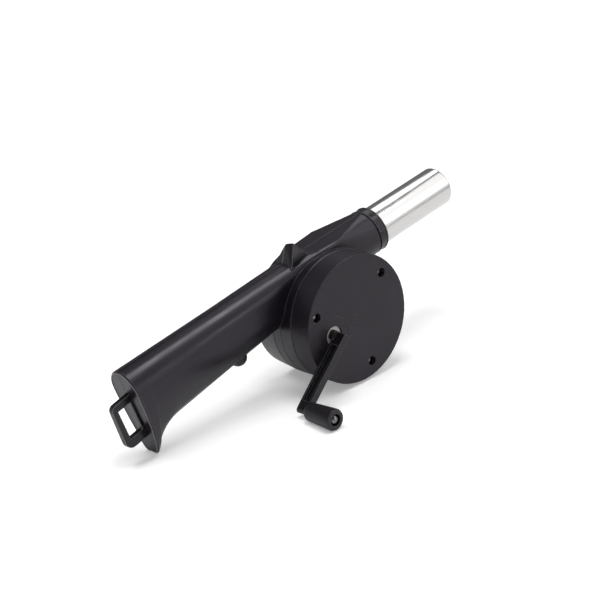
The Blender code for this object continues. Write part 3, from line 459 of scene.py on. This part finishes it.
def ramp(tree, value, start, end, low=0.0, high=1.0):
    """A value taken from one range to another, and kept within it."""
    inputs = {"Value": value, "From Min": start, "From Max": end, "To Min": low, "To Max": high}
    return node(tree, "MapRange", inputs).outputs["Result"]


def noise(tree, inputs, **settings):
    """A noise value."""
    return node(tree, "TexNoise", inputs, **settings).outputs["Fac"]


def spread(tree, value, low, high):
    """A noise value spread over a range."""
    return ramp(tree, value, *NOISE_RANGE, low, high)


def mixed(tree, factor, first, second):
    """A colour between two."""
    inputs = {"Factor": factor, "A": first, "B": second}
    return node(tree, "Mix", inputs, data_type="RGBA").outputs["Result"]


def clear_of_seam_shade(tree, place):
    """Nothing where the shell's halves meet, where shade is painted, and one a little away from
    there and on the butt.
    """
    way = packed_way(CRANK_WAY)
    start = way.dot(BLOWER.translation) + PARTING
    off = reckon(tree, "SUBTRACT", dot(tree, place, tuple(way)), start)
    clear = ramp(tree, reckon(tree, "ABSOLUTE", off), *SEAM_PAINTED_SHADE)
    back = packed_way(butt_way())
    start = back.dot(BLOWER @ Vector((BUTT_AT, 0.0, 0.0)))
    out = dot(tree, place, tuple(back))
    butt = ramp(tree, out, start - BUTT_SKIN, start - BUTT_SKIN / 2)
    return reckon(tree, "MAXIMUM", clear, butt)


def moulded(name, colour, pale, roughness, grain, depth, edge):
    """Moulded plastic: fine grain, a cloudy gloss and edges painted paler as highlights.

    The shell's has painted shade along its seam too, where its gloss is taken away.
    """
    material, tree, surface = shader(name)
    place = node(tree, "TexCoord").outputs["Object"]
    cloud = noise(tree, {"Vector": place, **PLASTIC_CLOUD})
    fine = noise(tree, {"Vector": place, "Scale": grain, **PLASTIC_GRAIN})
    rounded = node(tree, "Bevel", {"Radius": edge}, samples=BEVEL_SAMPLES).outputs["Normal"]
    bent = dot(tree, rounded, node(tree, "NewGeometry").outputs["Normal"])
    # Painted highlight: edges are painted paler where their rounding turns the surface.
    edge_highlight = ramp(tree, bent, EDGE_HIGHLIGHT_STARTS, EDGE_HIGHLIGHT_FULL, 0.0, EDGE_HIGHLIGHT_MOST)
    edge_highlight = reckon(tree, "MULTIPLY", edge_highlight, spread(tree, cloud, *EDGE_HIGHLIGHT_CLOUD))
    surface.inputs["Specular IOR Level"].default_value = GLOSS
    if name == SEAMED_PLASTIC:
        # Painted shade along the seam: its gloss and painted edge highlight are taken away there,
        # so it stays dark.
        clear = clear_of_seam_shade(tree, place)
        edge_highlight = reckon(tree, "MULTIPLY", edge_highlight, clear)
        feed(tree, surface, {"Specular IOR Level": reckon(tree, "MULTIPLY", clear, GLOSS)})
    # The colour goes towards the painted highlight along the edges.
    tone = mixed(tree, edge_highlight, (*colour, 1.0), (*pale, 1.0))
    bump = node(
        tree,
        "Bump",
        {"Height": fine, "Distance": depth, "Strength": 1.0, "Normal": rounded},
    )
    smoother, rougher = PLASTIC_VARIES
    feed(
        tree,
        surface,
        {
            "Base Color": scaled(tree, tone, spread(tree, fine, *PLASTIC_SPECK)),
            "Roughness": spread(tree, cloud, roughness + smoother, roughness + rougher),
            "Normal": bump.outputs["Normal"],
            "Specular Tint": PLASTIC_TINT,
        },
    )
    return material


def steel(name, colour, roughness, axis, scale):
    """Polished metal with fine lines left by turning, running round an axis."""
    material, tree, surface = shader(name)
    place = node(tree, "TexCoord").outputs["Object"]
    travel = dot(tree, place, tuple(packed_way(axis)))
    lines = noise(tree, {"W": travel, "Scale": scale, **METAL_LINES}, noise_dimensions="1D")
    cloud = noise(tree, {"Vector": place, **METAL_CLOUD})
    bump = node(tree, "Bump", {"Height": lines, **METAL_BUMP})
    smoother, rougher = METAL_VARIES
    feed(
        tree,
        surface,
        {
            "Base Color": scaled(tree, colour, spread(tree, lines, *METAL_SHADE)),
            "Metallic": 1.0,
            "Roughness": spread(tree, cloud, roughness + smoother, roughness + rougher),
            "Normal": bump.outputs["Normal"],
        },
    )
    return material


def nylon(name):
    """Undyed gear plastic: milky and a little yellow, with faint clouds."""
    material, tree, surface = shader(name)
    place = node(tree, "TexCoord").outputs["Object"]
    cloud = noise(tree, {"Vector": place, **NYLON_CLOUD})
    feed(
        tree,
        surface,
        {
            "Base Color": mixed(tree, spread(tree, cloud, 0.0, 1.0), *NYLON_COLOURS),
            "Roughness": spread(tree, cloud, *NYLON_ROUGHNESS),
            **NYLON_DEPTH,
        },
    )
    return material


def break_edges(shape, edges, width):
    """Breaks some edges of a shape with a narrow flat."""
    bmesh.ops.bevel(
        shape,
        geom=edges,
        offset=width,
        offset_type="OFFSET",
        segments=1,
        profile=0.5,
        affect="EDGES",
        clamp_overlap=False,
        material=-1,
        loop_slide=True,
    )


def square_edges(shape, pick):
    """The outward square edges of a shape that pick takes by their two ends."""
    found = []
    for edge in shape.edges:
        if edge.is_manifold and edge.calc_face_angle_signed(0.0) > SQUARE:
            if pick(edge.verts[0].co, edge.verts[1].co):
                found.append(edge)
    return found


def anywhere(_first, _second):
    """Takes every edge."""
    return True


def on_face(first, second):
    """Whether an edge lies in the cover's face."""
    return min(first.z, second.z) > -NEAR


def finish_edges(name, shape):
    """Breaks a node's square edges, on the cover only the rims of the holes in its face."""
    pick = on_face if name == "gear_cover" else anywhere
    break_edges(shape, square_edges(shape, pick), EDGE_BREAKS[name])


def heel_fill(up):
    """How far the heel's far side is filled out at a height."""
    share = min(1.0, max(0.0, (HEEL_TOP - up) / HEEL_RISE))
    return HEEL_FILL * share * share * (3.0 - 2.0 * share)


def finish_housing(_name, shape):
    """Lowers the thumb stop for its rounded cap, fills out the heel and breaks the seam's edges."""
    for vert in shape.verts:
        if vert.co.y > STOP_TOP - NEAR:
            vert.co.y = STOP_LOWERED
        if vert.co.z < PARTING - HEEL_KEEP and vert.co.x < HEEL_FRONT:
            vert.co.z -= heel_fill(vert.co.y)
    shape.normal_update()
    tree = BVHTree.FromBMesh(shape)
    break_edges(shape, square_edges(shape, lambda a, b: on_seam(tree, a, b)), SEAM_BREAK)


def on_seam(tree, a, b):
    """Whether an edge lies where the halves meet, off the butt, and its half leaves it in view."""
    if abs(a.z - b.z) > NEAR or abs(abs(a.z - PARTING) - SEAM_HALF) > NEAR:
        return False
    if max(a.x - BUTT_RAKE * a.y, b.x - BUTT_RAKE * b.y) < BUTT_AT + BUTT_SKIN:
        return False
    along = (b - a).normalized()
    middle = (a + b) / 2
    out = Vector(CRANK_WAY)
    inside = out * (PROBE_INSIDE if a.z > PARTING else -PROBE_INSIDE)
    for side in (along.cross(out), out.cross(along)):
        if tree.ray_cast(middle + inside + side * PROBE_BESIDE, side)[0] is None:
            return True
    return False


FINISHES = {name: finish_edges for name in EDGE_BREAKS}
FINISHES.update({name: finish_housing for name in WORN_BY[SEAMED_PLASTIC]})


def joined(name):
    """A copy of a CAD node's mesh: split facets welded, flat ones joined, curves shaded smooth."""
    shape = bmesh.new()
    shape.from_mesh(frame["nodes"][name].data)
    bmesh.ops.remove_doubles(shape, verts=shape.verts, dist=WELD)
    bmesh.ops.dissolve_limit(
        shape, angle_limit=FLAT_WITHIN, verts=shape.verts, edges=shape.edges
    )
    if name in FINISHES:
        shape.transform(BLOWER.inverted())
        shape.normal_update()
        FINISHES[name](name, shape)
        bmesh.ops.remove_doubles(shape, verts=shape.verts, dist=WELD)
        bmesh.ops.dissolve_degenerate(shape, edges=shape.edges, dist=WELD)
        shape.transform(BLOWER)
    mesh = bpy.data.meshes.new(name + "_skin")
    shape.to_mesh(mesh)
    shape.free()
    if "custom_normal" in mesh.attributes:
        mesh.attributes.remove(mesh.attributes["custom_normal"])
    mesh.shade_smooth()
    mesh.set_sharp_from_angle(angle=SHARP_OVER)
    mark_creases(mesh)
    return mesh


def on_crease(point):
    """Whether a point, in the blower's own frame, lies on a crease of the nozzle's root."""
    for start, end in CREASES:
        near, share = intersect_point_line(point, start, end)
        if -CREASE_WITHIN < share < 1.0 + CREASE_WITHIN:
            if (point - near).length < CREASE_WITHIN:
                return True
    return False


def mark_creases(mesh):
    """Makes the edges along the creases sharp."""
    to_own = BLOWER.inverted()
    lying = [on_crease(to_own @ vert.co) for vert in mesh.vertices]
    sharp = mesh.attributes.get("sharp_edge")
    if sharp is None:
        sharp = mesh.attributes.new("sharp_edge", "BOOLEAN", "EDGE")
    for edge in mesh.edges:
        if all(lying[i] for i in edge.vertices):
            sharp.data[edge.index].value = True


def body_of(name):
    """The CAD body that a node rides on."""
    return frame["nodes"][name].parent.name.split(":")[1]


def finer(name, material):
    """A smooth piece in a CAD node's place and shape."""
    mesh = joined(name)
    mesh.materials.clear()
    mesh.materials.append(material)
    piece = bpy.data.objects.new(name + "_skin", mesh)
    bpy.context.scene.collection.objects.link(piece)
    weigh = piece.modifiers.new("weigh", "WEIGHTED_NORMAL")
    weigh.keep_sharp = True
    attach(piece, body_of(name))
    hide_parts(name)


def piece_of(name, shape, material, body):
    """A new smooth piece, made in the blower's own frame, that rides on a body."""
    bmesh.ops.remove_doubles(shape, verts=shape.verts, dist=WELD)
    bmesh.ops.dissolve_degenerate(shape, edges=shape.edges, dist=WELD)
    bmesh.ops.recalc_face_normals(shape, faces=shape.faces)
    shape.transform(BLOWER)
    mesh = bpy.data.meshes.new(name)
    shape.to_mesh(mesh)
    shape.free()
    mesh.shade_smooth()
    mesh.set_sharp_from_angle(angle=SHARP_OVER)
    mesh.materials.append(material)
    piece = bpy.data.objects.new(name, mesh)
    bpy.context.scene.collection.objects.link(piece)
    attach(piece, body)
    return piece


def round_the_clock(turns):
    """Equal angles of one whole turn."""
    return [2.0 * pi * i / turns for i in range(turns)]


def band(shape, row, following):
    """Faces between two closed rows of points."""
    for i in range(len(row)):
        j = (i + 1) % len(row)
        shape.faces.new((row[i], row[j], following[j], following[i]))


def turned(profile, turns, spot):
    """A closed profile of places along an axis and radii, turned round it.

    spot gives each point's place.
    """
    shape = bmesh.new()
    rows = []
    for along, radius in profile:
        ring = [spot(along, radius * cos(a), radius * sin(a)) for a in round_the_clock(turns)]
        rows.append([shape.verts.new(place) for place in ring])
    for row, following in zip(rows, rows[1:] + rows[:1]):
        band(shape, row, following)
    return shape


def about_tube(along, first, second):
    """A point's place about the tube's axis."""
    height, depth = TUBE_AXIS
    return along, height + first, depth + second


def add_tube(material):
    """The steel tube with its lip and bead, in the CAD tube's place."""
    shape = turned(TUBE_PROFILE, TUBE_TURNS, about_tube)
    piece = piece_of("nozzle_tube_skin", shape, material, body_of("nozzle_tube"))
    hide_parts("nozzle_tube")


def add_beads(material):
    """The rounded edges of the collar."""
    for name, along in COLLAR_BEADS:
        profile = [
            (along + BEAD_RADIUS * cos(a), BEAD_RING + BEAD_RADIUS * sin(a))
            for a in round_the_clock(BEAD_TURNS)
        ]
        shape = turned(profile, TUBE_TURNS, about_tube)
        piece_of(name, shape, material, body_of("nozzle_collar"))


def middle_of(values):
    """The middle between the least and the greatest value."""
    return (min(values) + max(values)) / 2


def add_dome(name, axis, share, material):
    """The domed head of a screw, on a given axis or else on the screw's own."""
    to_own = BLOWER.inverted()
    spots = [to_own @ vert.co for vert in frame["nodes"][name].data.vertices]
    top = max(spot.z for spot in spots)
    own = middle_of([spot.x for spot in spots]), middle_of([spot.y for spot in spots])
    across, up = axis or own
    profile = [(share * rise, share * radius) for rise, radius in DOME_PROFILE]
    shape = turned(profile, BALL_TURNS, lambda z, a, b: (across + a, up + b, top + z))
    piece_of(name + "_dome", shape, material, body_of(name))


def add_rings(material):
    """The gate mark and the ring round the hub on the cover's face."""
    for name, (across, up), radius in COVER_RINGS:
        profile = (
            (-RING_SUNK, radius - RING_HALF),
            (-RING_SUNK, radius + RING_HALF),
            (RING_RISE, radius + RING_CREST_HALF),
            (RING_RISE, radius - RING_CREST_HALF),
        )
        shape = turned(profile, TUBE_TURNS, lambda z, a, b: (across + a, up + b, z))
        piece_of(name, shape, material, body_of("gear_cover"))


def add_stop(material):
    """The rounded thumb stop, in two halves that meet where the shell's halves do."""
    for name, side in (("thumb_stop_near", 1.0), ("thumb_stop_far", -1.0)):
        shape = bmesh.new()
        for centre, radius in STOP_BALLS:
            bmesh.ops.create_uvsphere(
                shape,
                u_segments=BALL_TURNS,
                v_segments=BALL_RINGS,
                radius=radius,
                matrix=Matrix.Translation(centre),
            )
        hull = bmesh.ops.convex_hull(shape, input=shape.verts)
        spare = {item for key in ("geom_interior", "geom_unused") for item in hull[key]}
        spare = [item for item in spare if isinstance(item, bmesh.types.BMVert)]
        bmesh.ops.delete(shape, geom=spare, context="VERTS")
        inner = [f for f in shape.faces if not any(edge.is_manifold for edge in f.edges)]
        bmesh.ops.delete(shape, geom=inner, context="FACES")
        cut = bmesh.ops.bisect_plane(
            shape,
            geom=[*shape.verts, *shape.edges, *shape.faces],
            plane_co=(0.0, 0.0, PARTING + side * SEAM_HALF),
            plane_no=(0.0, 0.0, side),
            clear_inner=True,
        )
        rim = [item for item in cut["geom_cut"] if isinstance(item, bmesh.types.BMEdge)]
        bmesh.ops.contextual_create(shape, geom=rim)
        piece_of(name, shape, material, body_of("housing_right"))


def butt_outline():
    """Heights and half widths of the butt's outline, from the top seam to the foot."""
    quarter = [pi / 2 * i / RIM_STEPS for i in range(RIM_STEPS + 1)]
    widest = BUTT_TOP - BUTT_SHOULDER
    outline = []
    for angle in quarter:
        half = BUTT_TOP_FLAT + (BUTT_HALF - BUTT_TOP_FLAT) * sin(angle)
        outline.append((widest + BUTT_SHOULDER * cos(angle), half))
    for angle in quarter[1:]:
        half = BUTT_LOW_FLAT + (BUTT_HALF - BUTT_LOW_FLAT) * cos(angle) ** BUTT_POINT
        outline.append((widest - (widest - BUTT_FOOT) * sin(angle), half))
    return outline


def add_rim(material):
    """The raised rim round the butt, on each half of the shell, painted pale as a highlight."""
    out = butt_way()
    for name, side in (("butt_rim_near", 1.0), ("butt_rim_far", -1.0)):
        spots = []
        for up, half in butt_outline():
            filled = side < 0.0 and half > HEEL_KEEP
            wide = half + heel_fill(up) if filled else half
            spots.append(Vector((BUTT_AT + BUTT_RAKE * up, up, PARTING + side * wide)))
        shape = bmesh.new()
        rows = []
        for before, spot, after in zip(spots[:1] + spots, spots, spots[1:] + spots[-1:]):
            across = (after - before).normalized().cross(out)
            ways = [out * cos(a) + across * sin(a) for a in round_the_clock(RIM_SIDES)]
            rows.append([shape.verts.new(spot + RIM_RADIUS * way) for way in ways])
        for row, following in zip(rows, rows[1:]):
            band(shape, row, following)
        shape.faces.new(rows[0])
        shape.faces.new(rows[-1])
        piece_of(name, shape, material, body_of("housing_right"))


def light(name, place, aim, size, power):
    """A square softbox, aimed at a point."""
    data = bpy.data.lights.new(name, "AREA")
    data.shape = "SQUARE"
    data.size = size
    data.energy = power
    lamp = bpy.data.objects.new(name, data)
    lamp.location = place
    lamp.rotation_mode = "QUATERNION"
    lamp.rotation_quaternion = (Vector(aim) - Vector(place)).to_track_quat("-Z", "Y")
    bpy.context.scene.collection.objects.link(lamp)
    return lamp


def bearing_way(bearing):
    """The level direction of a bearing, clockwise from the far side."""
    return (sin(radians(bearing)), cos(radians(bearing)), 0.0)


def build_floor():
    """A pale table that keeps the shadow, darker far behind, and white where the camera sees it."""
    mesh = bpy.data.meshes.new("floor")
    half = FLOOR_HALF
    corners = [(-half, -half, 0), (half, -half, 0), (half, half, 0), (-half, half, 0)]
    mesh.from_pydata(corners, [], [(0, 1, 2, 3)])
    floor = bpy.data.objects.new("floor", mesh)
    bpy.context.scene.collection.objects.link(floor)
    material, tree, surface = shader("pale_floor")
    place = node(tree, "TexCoord").outputs["Object"]
    far = ramp(tree, dot(tree, place, bearing_way(TABLE_BEARING)), *TABLE_FADE)
    grain = spread(tree, noise(tree, {"Vector": place, **TABLE_CLOUD}), *TABLE_GRAIN)
    reach = node(tree, "VectorMath", {0: place}, operation="LENGTH").outputs["Value"]
    unlit = reckon(tree, "MAXIMUM", far, ramp(tree, reach, *TABLE_EDGE))
    grey = ramp(tree, far, 0.0, 1.0, TABLE_PALE, TABLE_DARK)
    lift = ramp(tree, unlit, 0.0, 1.0, *TABLE_LIFT)
    path = node(tree, "LightPath").outputs
    near = ramp(tree, far, 0.0, 1.0, TABLE_MIRRORED_LIFT, 0.0)
    shiny = reckon(tree, "MULTIPLY", near, path["Is Glossy Ray"])
    feed(
        tree,
        surface,
        {
            "Base Color": reckon(tree, "ADD", grey, grain),
            "Roughness": TABLE_ROUGHNESS,
            "Specular IOR Level": 0.0,
            "Emission Color": WHITE,
            "Emission Strength": ramp(tree, path["Is Camera Ray"], 0.0, 1.0, shiny, lift),
        },
    )
    mesh.materials.append(material)


def build_world():
    """A room that is white to the camera, and dimmer with two pale walls in reflections."""
    world = bpy.data.worlds.new("room")
    bpy.context.scene.world = world
    world.use_nodes = True
    tree = world.node_tree
    way = node(tree, "TexCoord").outputs["Generated"]
    either = reckon(tree, "ABSOLUTE", dot(tree, way, bearing_way(PALE_WALL_BEARING)))
    wall = ramp(tree, either, *PALE_WALL_FADE, ROOM_MIRRORED, PALE_WALL)
    path = node(tree, "LightPath").outputs
    shiny = reckon(tree, "MAXIMUM", path["Is Glossy Ray"], path["Is Transmission Ray"])
    unseen = ramp(tree, shiny, 0.0, 1.0, ROOM_FILL, wall)
    strength = ramp(tree, path["Is Camera Ray"], 0.0, 1.0, unseen, ROOM_SEEN)
    feed(tree, tree.nodes["Background"], {"Color": WHITE, "Strength": strength})


def build_camera():
    """The camera at the photo's angle."""
    data = bpy.data.cameras.new("camera")
    data.lens = LENS_MM
    data.sensor_width = SENSOR_MM
    data.clip_start, data.clip_end = CAMERA_CLIP
    camera = bpy.data.objects.new("camera", data)
    bpy.context.scene.collection.objects.link(camera)
    back = Vector(CAMERA_BACK).normalized()
    right = Vector(CAMERA_UP).cross(back).normalized()
    turn = Matrix((right, back.cross(right), back)).transposed().to_4x4()
    camera.matrix_world = BLOWER @ Matrix.Translation(CAMERA_AT) @ turn
    bpy.context.scene.camera = camera


def build_lights():
    """The soft boxes round the part, and the small one over the table behind the butt."""
    for name, bearing, rise, size, radiance, spreads, mirrored in SOFT_BOXES:
        level = Vector(bearing_way(bearing)) * cos(radians(rise))
        way = level + Vector((0.0, 0.0, sin(radians(rise))))
        place = Vector(LIT_POINT) + BOX_DISTANCE * way
        lamp = light(name, place, LIT_POINT, size, radiance * pi * size * size)
        lamp.visible_diffuse = spreads
        lamp.visible_glossy = mirrored
    spot = BLOWER @ Vector(BUTT_SPOT)
    spot.z = 0.0
    above = spot + Vector((0.0, 0.0, BUTT_LAMP_RISE))
    lamp = light("butt_box", above, spot, BUTT_LAMP_SIZE, BUTT_LAMP_POWER)
    lamp.visible_glossy = False


def dress():
    """Every CAD node in its finish, and the pieces that are added to them."""
    looks = {name: moulded(name, *values) for name, values in PLASTICS.items()}
    looks.update({name: steel(name, *values) for name, values in METALS.items()})
    looks[NYLON] = nylon(NYLON)
    for look, names in WORN_BY.items():
        for name in names:
            finer(name, looks[look])
    add_tube(looks["polished_tube"])
    add_beads(looks["collar_plastic"])
    add_dome("knob_screw", KNOB_AXIS, KNOB_DOME, looks["blued_screw"])
    for name in COVER_SCREWS:
        add_dome(name, None, COVER_DOME, looks["zinc_screws"])
    add_rings(looks["cover_plastic"])
    add_stop(looks["loop_plastic"])
    # The butt's rim, painted pale: a painted highlight.
    add_rim(looks["worn_rim_plastic"])


def main():
    """Dresses and lights the frame."""
    bpy.context.scene.view_settings.view_transform = "Standard"
    dress()
    build_floor()
    build_world()
    build_lights()
    build_camera()


main()
